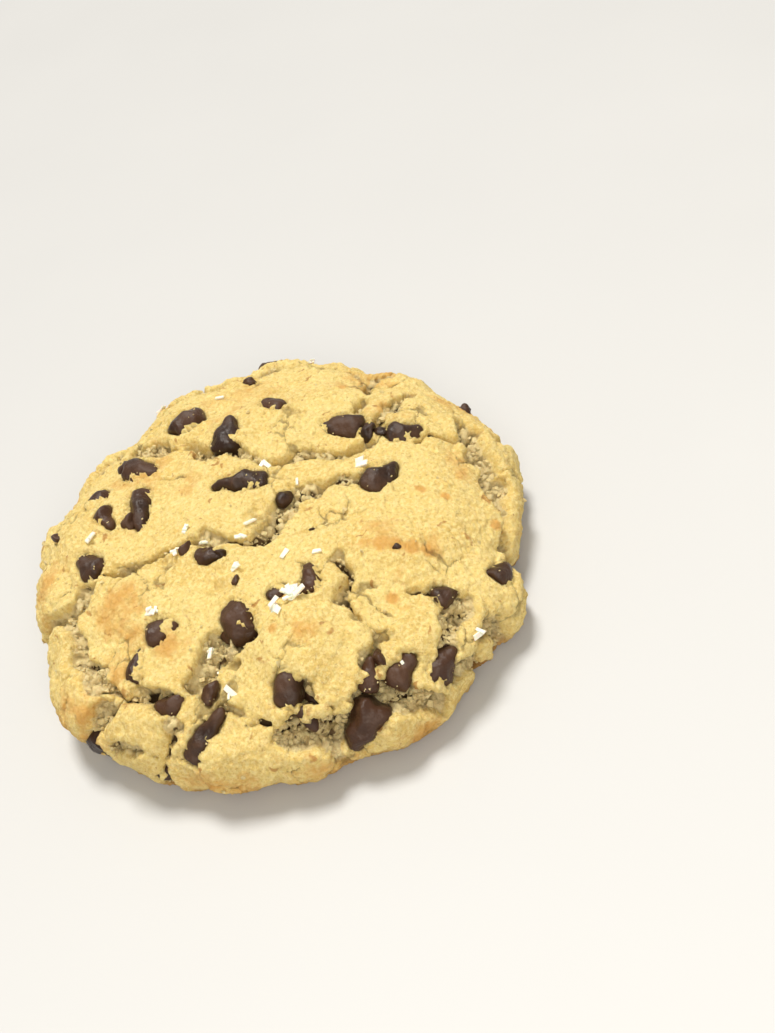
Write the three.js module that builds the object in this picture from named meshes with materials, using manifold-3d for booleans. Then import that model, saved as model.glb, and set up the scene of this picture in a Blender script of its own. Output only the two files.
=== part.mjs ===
// A thick, craggy chocolate chip cookie with flaky salt, lying flat with its baked top up.
// Millimetres, +Z up. The origin is under the middle of the cookie, on the plane it lies on.
import * as THREE from 'three';
import { mergeVertices } from 'three/addons/utils/BufferGeometryUtils.js';
import Module from 'manifold-3d';

const wasm = await Module();
wasm.setup();

// Driving dimensions
const HEIGHT = 26.5;
const WIDEST_LEVEL = 7;
const MEAN_RADIUS = 54;
const FOOT_SHARE = 0.93;
const SHOULDER_ROUNDNESS = 2.8;
const SKIN_STEP = 2.3;
const UNDERSIDE_STEP = 9;
const CHIP_GAP = 0.35;
const FLAKE_THICKNESS = 0.9;
// Moves the uneven cookie so that its box stands centred over the origin
const MIDDLE = new THREE.Vector3(-2.3, 1.39, 0);

// The rim's radius at even bearings, counted from +X towards +Y
const RIM_RADII = [55.5, 54, 52.5, 56, 54, 53, 51, 50, 51.5, 51.5, 50.5, 53.5, 55, 55.5, 55.5, 56, 57, 57, 54, 53.5];

// Every place below is [across, along] on the skin laid out flat: the distance is measured over
// the skin from the crown, and the direction is the bearing around the Z axis.

// Plates of crust and lobes of the rim: across, along, radius, height
const LOBES = [
  [-10, 33, 10, 1.4], [5, 22, 8, 1.2], [15, 14, 7, 1.0],
  [38, 12, 9, 1.0], [27, 20, 9, 0.8], [-7, 6, 13, 0.5], [-35, 17, 12, 0.9],
  [26, -22, 14, 1.6], [16, -17, 9, 1.3], [38, -15, 9, 1.4],
  [-24, -14, 13, 1.1], [-8, -20, 8, 0.8], [-2, -38, 9, 2.0],
  [-49, -22, 10, 2.2], [-37, -38, 8, 1.6], [-24, -55, 9, 2.0], [-11, -61, 8, 1.5], [14, -61, 10, 2.4],
  [19, -43, 6, 1.6], [27, -49, 5, 1.2], [32, -46, 5, 1.2],
  [58, -10, 11, 2.0], [47, -43, 9, 2.4], [-54, 8, 9, 1.6],
  [22, 52, 9, 2.0], [-6, 56, 10, 1.8], [-32, 46, 9, 2.0], [48, 30, 9, 1.8], [-48, 28, 8, 1.5],
];

// Cracks between the plates: half width, depth, then the places that the crack runs through
const CRACKS = [
  [0.8, 2.5, [39, 27], [35, 21], [30, 13]],
  [1.0, 2.5, [42, 15], [37, 10], [33, 7]],
  [1.2, 3.0, [27, 2], [20, 1], [16, 5], [8, 6], [1, 12], [-3, 16], [-7, 23], [-12, 27], [-21, 36]],
  [1.2, 2.6, [23, -9], [18, -7], [10, -6], [4, -8], [1, -12], [-4, -13]],
  [0.8, 2.0, [36, -3], [40, -2], [45, -4]],
  [1.8, 4.8, [50, 6], [48, -4], [50, -11], [50, -19], [51, -25], [50, -31], [46, -35]],
  [2.2, 5.0, [46, -35], [53, -37], [60, -40], [66, -44]],
  [0.8, 2.0, [55, -3], [61, 0], [63, -8], [64, -14]],
  [0.9, 3.0, [10, -25], [12, -28], [9, -33], [10, -38], [12, -43], [8, -47]],
  [0.8, 2.4, [21, -36], [25, -37], [28, -40], [26, -43]],
  [1.8, 3.8, [26, -43], [30, -43], [36, -47], [40, -52]],
  [0.8, 2.5, [26, -43], [25, -46], [22, -51]],
  [0.8, 2.5, [32, -48], [30, -51], [25, -54]],
  [1.5, 3.2, [30, -52], [34, -58], [37, -64]],
  [1.0, 3.0, [-5, -47], [-3, -50], [0, -52], [5, -52]],
  [3.2, 4.0, [-12, -52], [-3, -55], [6, -55], [16, -56]],
  [0.9, 2.5, [-17, -48], [-11, -50], [-7, -51], [-5, -54]],
  [0.8, 2.2, [-12, -56], [-8, -54], [-3, -57], [-4, -63]],
  [1.3, 4.2, [-44, -7], [-44, -13], [-42, -21], [-37, -30], [-30, -35]],
  [0.8, 2.4, [-35, -1], [-28, -5], [-17, -6], [-9, -9], [-4, -13]],
  [1.8, 3.0, [-37, -1], [-40, -3], [-44, -7]],
  [2.4, 4.5, [-44, -6], [-52, -2], [-60, -2], [-68, -2]],
  [1.3, 3.2, [-38, -31], [-43, -32], [-50, -32], [-57, -35]],
  [2.2, 3.0, [-14, -31], [-17, -33], [-20, -36], [-22, -39]],
  [0.8, 2.4, [-30, -42], [-36, -46], [-43, -51]],
  [0.7, 1.4, [-46, -36], [-39, -41], [-35, -45]],
  [0.7, 1.4, [-20, -43], [-16, -46], [-14, -49]],
  [1.1, 3.0, [-44, 30], [-30, 40], [-15, 46], [0, 48], [15, 46], [28, 40], [42, 28]],
  [1.1, 2.6, [0, 48], [3, 56], [0, 66]],
  [1.0, 2.6, [-30, 40], [-40, 51]],
  [1.0, 2.6, [31, 38], [42, 50]],
];

// Chips: across, along, heading of the tip in degrees, its rise in degrees, base diameter,
// length from base to tip, and how deep the chip's middle lies under the skin
const CHIPS = [
  [-5, 32, 24, 20, 8, 8.5, 1.6], [2, 19, 60, 25, 7, 9, 1.8], [13, 23, 123, 10, 6, 6.5, 1.6],
  [26, 10, 147, 15, 7, 9, 1.6], [35, 1, 349, 15, 6, 8, 1.6], [27, -10, 24, 20, 7.5, 9.5, 1.5],
  [-20, 25, 313, 10, 7.5, 9, 1.8], [-22, 12, 256, 5, 6.5, 11, 1.6], [-30, 13, 283, 5, 5, 6, 1.4],
  [-31, 21, 52, 10, 6, 6.5, 1.6], [-38, 4, 108, 30, 7, 7, 1.8], [1, 3, 153, 5, 5.5, 12, 1.4],
  [-11, -12, 329, 5, 4, 6.5, 1.0], [5, -27, 74, 15, 5.6, 6.5, 1.4], [-10, -28, 73, 75, 9.5, 8, 2.2],
  [-2, -27, 16, 10, 3.4, 4, 0.9], [-25, -23, 356, 5, 5, 6, 1.4], [-32, -27, 58, 5, 4, 7, 1.3],
  [-29, -37, 5, 10, 5, 5.5, 1.4], [-26, -46, 24, 5, 4.6, 12, 1.4], [-21, -39, 31, 10, 3.2, 5, 0.9],
  [-7, -45, 57, 25, 6.5, 8, 1.8], [-6, -51.5, 275, 5, 3.4, 5.5, 0.9], [4, -58, 220, 10, 8.5, 10, 2.0],
  [7.5, -49, 64, 10, 3.6, 6.5, 1.0], [13.5, -50, 46, 15, 6, 8, 1.4], [21, -52, 37, 15, 7.3, 9, 1.8],
  [27, -39, 5, 5, 4, 5, 1.2], [42, -38, 30, 10, 6, 7, 1.8], [-40, -48, 12, 5, 4, 4.5, 1.2],
  [-51, -34, 303, 10, 7, 8, 1.8], [64, -11, 100, 5, 4, 6, 1.2], [7, -5, 30, 5, 3, 4, 0.8],
  [20, 54, 200, 15, 8, 9, 1.8], [-25, 57, 80, 10, 7.5, 9, 2.6], [52, 37, 130, 10, 7, 8.5, 2.0],
  [-51, 38, 150, 10, 6.5, 8, 1.6], [3, 62, 20, 10, 7.5, 9, 2.2], [34, 50, 260, 10, 7, 8, 1.6],
];

// Chips that show only their flat bases in the underside: bearing in degrees, distance out, diameter
const UNDERSIDE_CHIPS = [[40, 30, 8], [165, 24, 7], [285, 36, 8]];
const UNDERSIDE_CHIP_DEPTH = 6;

// Salt flakes lying on the crust: across, along, length, heading and tilt in degrees
const FLAKES = [
  [2, -30, 4.2, 60, 15], [-18, -31, 3.4, 80, 15], [-25, -19, 3.8, 20, 12], [-17, -41, 3.8, 100, 15],
  [-7, -18, 3.0, 40, 12], [2.5, -19, 3.2, 95, 15], [8, -22, 2.6, 10, 12], [-14, -3, 2.6, 120, 12],
  [-17, -10, 2.4, 70, 10], [-4, -11, 2.4, 0, 12], [11, -3, 2.4, 140, 15], [-34, 9, 3.6, 350, 12],
  [-10, 52, 3.2, 110, 15], [27, 45, 3.0, 40, 15],
];

const doughMaterial = new THREE.MeshStandardMaterial({ color: '#e3c07c', roughness: 0.85, metalness: 0 });
const chocolateMaterial = new THREE.MeshStandardMaterial({ color: '#4d2f1b', roughness: 0.45, metalness: 0 });

function smoothstep(from, to, value) {
  const share = Math.min(1, Math.max(0, (value - from) / (to - from)));
  return share * share * (3 - 2 * share);
}

// The half section of the plain form: share of the rim's radius and level, from the crown to the foot
const SECTION_STEPS = 200;

function formSection() {
  const points = [];
  for (let step = 0; step <= SECTION_STEPS; step += 1) {
    const angle = (step / SECTION_STEPS) * (Math.PI / 2);
    const share = Math.sin(angle) ** (2 / SHOULDER_ROUNDNESS);
    points.push({ share, level: WIDEST_LEVEL + (HEIGHT - WIDEST_LEVEL) * Math.cos(angle) });
  }
  for (let step = 1; step <= SECTION_STEPS; step += 1) {
    const angle = (step / SECTION_STEPS) * (Math.PI / 2);
    const share = 1 - (1 - FOOT_SHARE) * (1 - Math.cos(angle));
    points.push({ share, level: WIDEST_LEVEL * (1 - Math.sin(angle)) });
  }
  let reach = 0;
  points.forEach((point, index) => {
    if (index > 0) {
      const before = points[index - 1];
      reach += Math.hypot((point.share - before.share) * MEAN_RADIUS, point.level - before.level);
    }
    point.reach = reach;
  });
  return points;
}

const SECTION = formSection();
const FOOT_REACH = SECTION[SECTION.length - 1].reach;

function sectionAt(reach) {
  if (reach >= FOOT_REACH) {
    return { share: FOOT_SHARE - (reach - FOOT_REACH) / MEAN_RADIUS, level: 0 };
  }
  let after = 1;
  while (SECTION[after].reach < reach) {
    after += 1;
  }
  const low = SECTION[after - 1];
  const high = SECTION[after];
  const between = (reach - low.reach) / (high.reach - low.reach);
  return {
    share: low.share + between * (high.share - low.share),
    level: low.level + between * (high.level - low.level),
  };
}

// A closed curve through the rim's radii
function rimRadius(bearing) {
  const count = RIM_RADII.length;
  const turn = ((bearing / (2 * Math.PI)) % 1 + 1) % 1;
  const index = Math.floor(turn * count);
  const along = turn * count - index;
  const [a, b, c, d] = [-1, 0, 1, 2].map((offset) => RIM_RADII[(index + offset + count) % count]);
  return b + 0.5 * along * (c - a + along * (2 * a - 5 * b + 4 * c - d + along * (3 * (b - c) + d - a)));
}

function formPoint(bearing, reach) {
  const { share, level } = sectionAt(reach);
  const radius = share * rimRadius(bearing);
  return new THREE.Vector3(radius * Math.cos(bearing), radius * Math.sin(bearing), level);
}

// The plain form's point at a place, with its downhill, around and outward directions
function formFrame([across, along]) {
  const bearing = Math.atan2(along, across);
  const reach = Math.hypot(across, along);
  const nudge = 0.2;
  const turn = nudge / MEAN_RADIUS;
  const point = formPoint(bearing, reach);
  const downhill = formPoint(bearing, reach + nudge).sub(formPoint(bearing, Math.max(0, reach - nudge))).normalize();
  const around = formPoint(bearing + turn, reach).sub(formPoint(bearing - turn, reach)).normalize();
  const outward = new THREE.Vector3().crossVectors(downhill, around).normalize();
  return { point, downhill, around, outward, bearing };
}

// Slow swells of the whole surface
const SWELLS = [0, 1, 2, 3, 4].map((index) => ({
  direction: new THREE.Vector3(Math.cos(2.4 * index), Math.sin(2.4 * index), 0.4 * Math.cos(1.7 * index)),
  length: 44 / (1 + 0.45 * index),
  height: 0.5 * 0.8 ** index,
  phase: 1.3 * index,
}));

function swell(point) {
  return SWELLS.reduce((sum, wave) => {
    return sum + wave.height * Math.sin((2 * Math.PI * point.dot(wave.direction)) / wave.length + wave.phase);
  }, 0);
}

const lobes = LOBES.map(([across, along, radius, height]) => {
  return { centre: formFrame([across, along]).point, radius, height };
});

function lobeHeight(point) {
  return lobes.reduce((highest, lobe) => {
    const distance = point.distanceTo(lobe.centre);
    return Math.max(highest, lobe.height * (1 - smoothstep(0.45 * lobe.radius, 1.15 * lobe.radius, distance)));
  }, 0);
}

const cracks = CRACKS.map(([half, depth, ...places]) => {
  const points = places.map((place) => formFrame(place).point);
  const runs = points.slice(1).map((end, index) => new THREE.Line3(points[index], end));
  return { half, depth, runs };
});

const nearest = new THREE.Vector3();

function crackDepth(point) {
  return cracks.reduce((deepest, crack) => {
    const distance = crack.runs.reduce((least, run) => {
      run.closestPointToPoint(point, true, nearest);
      return Math.min(least, nearest.distanceTo(point));
    }, Infinity);
    const half = Math.max(crack.half, 0.55 * SKIN_STEP);
    const cleft = 1 - smoothstep(0.3 * half, 1.1 * half, distance);
    const slope = 1 - smoothstep(0, 3.2 * half, distance);
    return Math.max(deepest, crack.depth * (0.72 * cleft + 0.28 * slope));
  }, 0);
}

function relief(point) {
  return swell(point) + lobeHeight(point) - crackDepth(point);
}

// Below the widest level the relief only moves the skin sideways, so that the underside stays flat
function skinPoint(bearing, reach) {
  const place = [reach * Math.cos(bearing), reach * Math.sin(bearing)];
  if (reach > FOOT_REACH) {
    const shrink = sectionAt(reach).share / FOOT_SHARE;
    const foot = skinPoint(bearing, FOOT_REACH);
    return new THREE.Vector3(foot.x * shrink, foot.y * shrink, 0);
  }
  const { point, outward } = formFrame(place);
  const sideways = new THREE.Vector3(Math.cos(bearing), Math.sin(bearing), 0);
  const direction = sideways.lerp(outward, smoothstep(0.6 * WIDEST_LEVEL, 1.4 * WIDEST_LEVEL, point.z)).normalize();
  return point.clone().addScaledVector(direction, relief(point));
}

// Rings of skin points from the crown down to the middle of the underside, with even steps
function doughRings() {
  const rings = [];
  const sideRings = Math.round(FOOT_REACH / SKIN_STEP);
  for (let index = 1; index <= sideRings; index += 1) {
    const reach = (index / sideRings) * FOOT_REACH;
    const around = 2 * Math.PI * MEAN_RADIUS * sectionAt(reach).share;
    rings.push({ reach, count: Math.max(6, Math.round(around / SKIN_STEP)) });
  }
  const undersideRings = Math.round((FOOT_SHARE * MEAN_RADIUS) / UNDERSIDE_STEP);
  for (let index = 1; index < undersideRings; index += 1) {
    const left = 1 - index / undersideRings;
    const around = 2 * Math.PI * MEAN_RADIUS * FOOT_SHARE * left;
    const reach = FOOT_REACH + FOOT_SHARE * MEAN_RADIUS * (1 - left);
    rings.push({ reach, count: Math.max(6, Math.round(around / UNDERSIDE_STEP)) });
  }
  return rings;
}

// Two rings of any counts are joined by always stepping along the ring that lags behind
function zipRings(upper, lower, triangles) {
  let above = 0;
  let below = 0;
  while (above < upper.count || below < lower.count) {
    const upperNext = (above + 1 + upper.offset) / upper.count;
    const lowerNext = (below + 1 + lower.offset) / lower.count;
    const upperVertex = upper.first + (above % upper.count);
    const lowerVertex = lower.first + (below % lower.count);
    if (below >= lower.count || (above < upper.count && upperNext <= lowerNext)) {
      triangles.push(upperVertex, lowerVertex, upper.first + ((above + 1) % upper.count));
      above += 1;
    } else {
      triangles.push(upperVertex, lowerVertex, lower.first + ((below + 1) % lower.count));
      below += 1;
    }
  }
}

function doughGeometry() {
  const crown = skinPoint(0, 0.001);
  const positions = [crown.x, crown.y, crown.z];
  const triangles = [];
  const rings = doughRings().map((ring, index) => {
    const first = positions.length / 3;
    const offset = index % 2 === 0 ? 0 : 0.5;
    for (let vertex = 0; vertex < ring.count; vertex += 1) {
      const point = skinPoint((2 * Math.PI * (vertex + offset)) / ring.count, ring.reach);
      positions.push(point.x, point.y, point.z);
    }
    return { first, offset, count: ring.count };
  });
  const inner = rings[0];
  for (let vertex = 0; vertex < inner.count; vertex += 1) {
    triangles.push(0, inner.first + vertex, inner.first + ((vertex + 1) % inner.count));
  }
  for (let index = 1; index < rings.length; index += 1) {
    zipRings(rings[index - 1], rings[index], triangles);
  }
  const outer = rings[rings.length - 1];
  const middle = positions.length / 3;
  positions.push(0, 0, 0);
  for (let vertex = 0; vertex < outer.count; vertex += 1) {
    triangles.push(outer.first + vertex, middle, outer.first + ((vertex + 1) % outer.count));
  }
  return indexedGeometry(positions, triangles);
}

function indexedGeometry(positions, triangles) {
  const geometry = new THREE.BufferGeometry();
  geometry.setAttribute('position', new THREE.Float32BufferAttribute(positions, 3));
  geometry.setIndex(triangles);
  return geometry;
}

// A teardrop chip along +Z: flat base at 0, fullest a fifth of the way up, and a blunt tip
const CHIP_SIDES = 8;
const CHIP_ROWS = [[0, 0], [0, 0.8], [0.2, 1], [0.64, 0.62], [1, 0]];
const CHIP_MIDDLE = 0.38;

function chipGeometry(base, length, grow) {
  const profile = CHIP_ROWS.map(([level, share]) => {
    const radius = share === 0 ? 0 : (share * base) / 2 + grow;
    return new THREE.Vector2(radius, level * (length + 2 * grow) - grow);
  });
  const geometry = new THREE.LatheGeometry(profile, CHIP_SIDES);
  geometry.rotateX(Math.PI / 2);
  geometry.translate(0, 0, -CHIP_MIDDLE * length);
  geometry.deleteAttribute('uv');
  geometry.deleteAttribute('normal');
  return mergeVertices(geometry, 0.001);
}

function chipPose([across, along, heading, rise, , , sunk]) {
  const { point, downhill, around, outward, bearing } = formFrame([across, along]);
  const turn = THREE.MathUtils.degToRad(heading) - bearing;
  const lift = THREE.MathUtils.degToRad(rise);
  const forward = downhill.clone().multiplyScalar(Math.cos(turn)).addScaledVector(around, Math.sin(turn));
  const tip = forward.multiplyScalar(Math.cos(lift)).addScaledVector(outward, Math.sin(lift)).normalize();
  const facing = new THREE.Quaternion().setFromUnitVectors(new THREE.Vector3(0, 0, 1), tip);
  const skin = skinPoint(bearing, Math.hypot(across, along));
  const dip = Math.min(0, relief(point) + 0.6);
  return { position: skin.addScaledVector(outward, -sunk - dip), facing };
}

function undersideChipPose([bearing, distance, base]) {
  const angle = THREE.MathUtils.degToRad(bearing);
  const middle = CHIP_MIDDLE * UNDERSIDE_CHIP_DEPTH;
  const position = new THREE.Vector3(distance * Math.cos(angle), distance * Math.sin(angle), middle);
  return { base, length: UNDERSIDE_CHIP_DEPTH, position, facing: new THREE.Quaternion() };
}

const chips = [
  ...CHIPS.map((row) => ({ base: row[4], length: row[5], ...chipPose(row) })),
  ...UNDERSIDE_CHIPS.map(undersideChipPose),
];

function solidFrom(geometry) {
  const vertProperties = new Float32Array(geometry.attributes.position.array);
  const triVerts = new Uint32Array(geometry.index.array);
  return new wasm.Manifold(new wasm.Mesh({ numProp: 3, vertProperties, triVerts }));
}

function placedSolid(geometry, { position, facing }) {
  const placed = geometry.clone().applyQuaternion(facing).translate(position.x, position.y, position.z);
  return solidFrom(placed);
}

function flakeSolid([across, along, length, heading, tilt]) {
  const { downhill, around, outward, bearing } = formFrame([across, along]);
  const turn = THREE.MathUtils.degToRad(heading) - bearing;
  const forward = downhill.clone().multiplyScalar(Math.cos(turn)).addScaledVector(around, Math.sin(turn));
  const side = new THREE.Vector3().crossVectors(outward, forward).normalize();
  const turned = new THREE.Matrix4().makeBasis(forward.normalize(), side, outward);
  const tilted = new THREE.Quaternion().setFromAxisAngle(new THREE.Vector3(0, 1, 0), THREE.MathUtils.degToRad(tilt));
  const facing = new THREE.Quaternion().setFromRotationMatrix(turned).multiply(tilted);
  const position = skinPoint(bearing, Math.hypot(across, along)).addScaledVector(outward, 0.7 * FLAKE_THICKNESS);
  const geometry = new THREE.BoxGeometry(length, 0.7 * length, FLAKE_THICKNESS);
  geometry.deleteAttribute('uv');
  geometry.deleteAttribute('normal');
  return placedSolid(mergeVertices(geometry, 0.001), { position, facing });
}

// Only the largest closed body of a cut solid is kept, so that no loose scrap is left behind
function largestBody(mesh) {
  const parent = Array.from({ length: mesh.vertProperties.length / 3 }, (_, index) => index);
  const root = (vertex) => {
    let top = vertex;
    while (parent[top] !== top) {
      parent[top] = parent[parent[top]];
      top = parent[top];
    }
    return top;
  };
  for (let index = 0; index < mesh.triVerts.length; index += 3) {
    parent[root(mesh.triVerts[index])] = root(mesh.triVerts[index + 1]);
    parent[root(mesh.triVerts[index + 1])] = root(mesh.triVerts[index + 2]);
  }
  const sizes = new Map();
  mesh.triVerts.forEach((vertex) => sizes.set(root(vertex), (sizes.get(root(vertex)) ?? 0) + 1));
  const largest = [...sizes.entries()].sort((one, other) => other[1] - one[1])[0][0];
  const kept = Array.from(mesh.triVerts).filter((vertex) => root(vertex) === largest);
  return mergeVertices(indexedGeometry(Array.from(mesh.vertProperties), kept), 0.0005);
}

function doughWithSocketsAndFlakes() {
  let solid = solidFrom(doughGeometry());
  FLAKES.forEach((row) => {
    solid = solid.add(flakeSolid(row));
  });
  chips.forEach((chip) => {
    solid = solid.subtract(placedSolid(chipGeometry(chip.base, chip.length, CHIP_GAP), chip));
  });
  return largestBody(solid.getMesh());
}

const cookie = new THREE.Group();
cookie.position.copy(MIDDLE);

const dough = new THREE.Mesh(doughWithSocketsAndFlakes(), doughMaterial);
dough.name = 'dough';
cookie.add(dough);

chips.forEach((chip, index) => {
  const mesh = new THREE.Mesh(chipGeometry(chip.base, chip.length, 0), chocolateMaterial);
  mesh.name = `chip_${String(index + 1).padStart(2, '0')}`;
  mesh.position.copy(chip.position);
  mesh.quaternion.copy(chip.facing);
  cookie.add(mesh);
});

export default cookie;
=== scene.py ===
import math
import random

import bmesh
import bpy
import numpy as np
from mathutils import Matrix, Quaternion, Vector, noise
from mathutils.bvhtree import BVHTree


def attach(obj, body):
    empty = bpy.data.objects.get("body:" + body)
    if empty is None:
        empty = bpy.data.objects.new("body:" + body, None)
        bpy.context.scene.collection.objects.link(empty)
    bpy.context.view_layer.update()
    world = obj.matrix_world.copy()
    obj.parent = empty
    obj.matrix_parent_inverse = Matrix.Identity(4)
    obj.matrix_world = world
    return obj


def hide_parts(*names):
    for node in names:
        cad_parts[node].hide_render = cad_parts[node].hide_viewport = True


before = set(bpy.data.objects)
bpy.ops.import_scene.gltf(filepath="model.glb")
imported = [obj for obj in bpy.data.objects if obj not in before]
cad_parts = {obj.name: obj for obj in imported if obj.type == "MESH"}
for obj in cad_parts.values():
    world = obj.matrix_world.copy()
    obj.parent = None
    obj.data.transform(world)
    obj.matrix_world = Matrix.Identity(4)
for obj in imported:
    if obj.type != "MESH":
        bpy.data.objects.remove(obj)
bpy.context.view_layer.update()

# The dough is worked out in millimetres, as its solid is, and its meshes are made in metres
MM = 0.001

# Driving dimensions of the dough's plain form
HEIGHT = 26.5
WIDEST_LEVEL = 7.0
MEAN_RADIUS = 54.0
FOOT_SHARE = 0.93
SHOULDER_ROUNDNESS = 2.8
CROWN_REACH = 0.001
FORM_NUDGE = 0.2
MIDDLE = np.array([-2.3, 1.39, 0.0])
RIM_RADII = np.array([55.5, 54, 52.5, 56, 54, 53, 51, 50, 51.5, 51.5,
                      50.5, 53.5, 55, 55.5, 55.5, 56, 57, 57, 54, 53.5])

# Distance between the solid's points, and between the fine mesh's on the skin and on the underside
SOLID_STEP = 2.3
SKIN_STEP = 0.395
UNDERSIDE_STEP = 1.3
RING_LEAST = 6

# Places are [across, along] on the skin laid out flat: distance over the skin from the crown,
# in the direction of the bearing.
# Plates of crust and lobes of the rim: across, along, radius, height
LOBES = [
    (-10, 33, 10, 1.4), (5, 22, 8, 1.2), (15, 14, 7, 1.0),
    (38, 12, 9, 1.0), (27, 20, 9, 0.8), (-7, 6, 13, 0.5), (-35, 17, 12, 0.9),
    (26, -22, 14, 1.6), (16, -17, 9, 1.3), (38, -15, 9, 1.4),
    (-24, -14, 13, 1.1), (-8, -20, 8, 0.8), (-2, -38, 9, 2.0),
    (-49, -22, 10, 2.2), (-37, -38, 8, 1.6), (-24, -55, 9, 2.0), (-11, -61, 8, 1.5), (14, -61, 10, 2.4),
    (19, -43, 6, 1.6), (27, -49, 5, 1.2), (32, -46, 5, 1.2),
    (58, -10, 11, 2.0), (47, -43, 9, 2.4), (-54, 8, 9, 1.6),
    (22, 52, 9, 2.0), (-6, 56, 10, 1.8), (-32, 46, 9, 2.0), (48, 30, 9, 1.8), (-48, 28, 8, 1.5),
]

# Cracks between the plates: half width, depth, then the places that the crack runs through
CRACKS = [
    (0.8, 2.5, (39, 27), (35, 21), (30, 13)),
    (1.0, 2.5, (42, 15), (37, 10), (33, 7)),
    (1.2, 3.0, (27, 2), (20, 1), (16, 5), (8, 6), (1, 12), (-3, 16), (-7, 23), (-12, 27), (-21, 36)),
    (1.2, 2.6, (23, -9), (18, -7), (10, -6), (4, -8), (1, -12), (-4, -13)),
    (0.8, 2.0, (36, -3), (40, -2), (45, -4)),
    (1.8, 4.8, (50, 6), (48, -4), (50, -11), (50, -19), (51, -25), (50, -31), (46, -35)),
    (2.2, 5.0, (46, -35), (53, -37), (60, -40), (66, -44)),
    (0.8, 2.0, (55, -3), (61, 0), (63, -8), (64, -14)),
    (0.9, 3.0, (10, -25), (12, -28), (9, -33), (10, -38), (12, -43), (8, -47)),
    (0.8, 2.4, (21, -36), (25, -37), (28, -40), (26, -43)),
    (1.8, 3.8, (26, -43), (30, -43), (36, -47), (40, -52)),
    (0.8, 2.5, (26, -43), (25, -46), (22, -51)),
    (0.8, 2.5, (32, -48), (30, -51), (25, -54)),
    (1.5, 3.2, (30, -52), (34, -58), (37, -64)),
    (1.0, 3.0, (-5, -47), (-3, -50), (0, -52), (5, -52)),
    (3.2, 4.0, (-12, -52), (-3, -55), (6, -55), (16, -56)),
    (0.9, 2.5, (-17, -48), (-11, -50), (-7, -51), (-5, -54)),
    (0.8, 2.2, (-12, -56), (-8, -54), (-3, -57), (-4, -63)),
    (1.3, 4.2, (-44, -7), (-44, -13), (-42, -21), (-37, -30), (-30, -35)),
    (0.8, 2.4, (-35, -1), (-28, -5), (-17, -6), (-9, -9), (-4, -13)),
    (1.8, 3.0, (-37, -1), (-40, -3), (-44, -7)),
    (2.4, 4.5, (-44, -6), (-52, -2), (-60, -2), (-68, -2)),
    (1.3, 3.2, (-38, -31), (-43, -32), (-50, -32), (-57, -35)),
    (2.2, 3.0, (-14, -31), (-17, -33), (-20, -36), (-22, -39)),
    (0.8, 2.4, (-30, -42), (-36, -46), (-43, -51)),
    (0.7, 1.4, (-46, -36), (-39, -41), (-35, -45)),
    (0.7, 1.4, (-20, -43), (-16, -46), (-14, -49)),
    (1.1, 3.0, (-44, 30), (-30, 40), (-15, 46), (0, 48), (15, 46), (28, 40), (42, 28)),
    (1.1, 2.6, (0, 48), (3, 56), (0, 66)),
    (1.0, 2.6, (-30, 40), (-40, 51)),
    (1.0, 2.6, (31, 38), (42, 50)),
]

# Salt flakes: across, along, length of the longest shard, how many shards
FLAKES = [
    (1, -29, 4.6, 7), (-3, -31, 3.4, 3), (-18, -31, 2.6, 2), (-25, -19, 3.4, 4), (-17, -41, 3.8, 2),
    (-18, -35, 2.4, 1), (-7, -18, 2.4, 2), (2.5, -19, 2.6, 1), (8, -22, 2.0, 1), (-14, -3, 2.4, 3),
    (-17, -8, 2.6, 3), (-11, -7, 2.2, 2), (-4, -11, 2.2, 2), (7, 5, 2.4, 2), (11, -3, 2.0, 1),
    (3, 1, 1.8, 2), (24, -5, 3.4, 2), (-34, 9, 3.0, 2), (30, -47, 2.8, 2), (14, -49, 2.0, 1),
    (-1, -9, 2.8, 1), (-10, 52, 3.2, 3), (27, 45, 3.0, 2), (-40, 35, 2.4, 2), (4, 38, 2.2, 1),
]

# How thickly and how far the dough climbs over the chips that stick out of it
COVER_HEIGHT = 0.9
FILM_HEIGHT = 9.0
FILM_THICKNESS = 0.22
FILM_SEARCH = 4.0
CHIP_CLEARANCE = 14.0
CHIP_SEARCH = 5

# The dough sinks under each chip, dips where it meets it and swells round it
SINK_DEPTH = 1.5
SINK_FROM = 0.4
SINK_TO = 1.6
DIP_DEPTH = 0.5
DIP_WIDTH = 0.4
COLLAR_HEIGHT = 0.4
COLLAR_OUT = 1.3
COLLAR_WIDTH = 0.9

# Chips that dough covers: across, along, radius, strength
FILMS = [
    (-12, -32, 3, 0.4), (29, 3.7, 4, 0.4), (-33, 19, 3, 0.5),
]

# Chips just under the crust darken it: across, along, radius, strength
GHOSTS = [
    (16.5, 17.7, 3, 0.8), (-19.5, -9, 2.2, 0.8), (-11, -20, 2.2, 0.5), (-30, 8, 3, 0.4),
    (1.3, -7.5, 3.5, 0.8), (9, -5, 3, 0.6), (-7, -31, 2.5, 0.5), (-17, -34, 3, 0.4),
    (-38, 22, 2.5, 0.8), (-1, -57, 4, 0.3), (-32, 50, 3, 0.6), (36, 44, 3, 0.6),
]

# Holes between lumps, sunk into the dough and painted dark as shade: across, along, radius, strength
PITS = [
    (6.3, -52.5, 2.0, 1.0), (24.6, 2.2, 2.0, 0.6), (-15, -36, 2.0, 0.6), (-9, -32.5, 1.6, 0.8),
    (32, 5, 1.4, 0.5),
]

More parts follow.
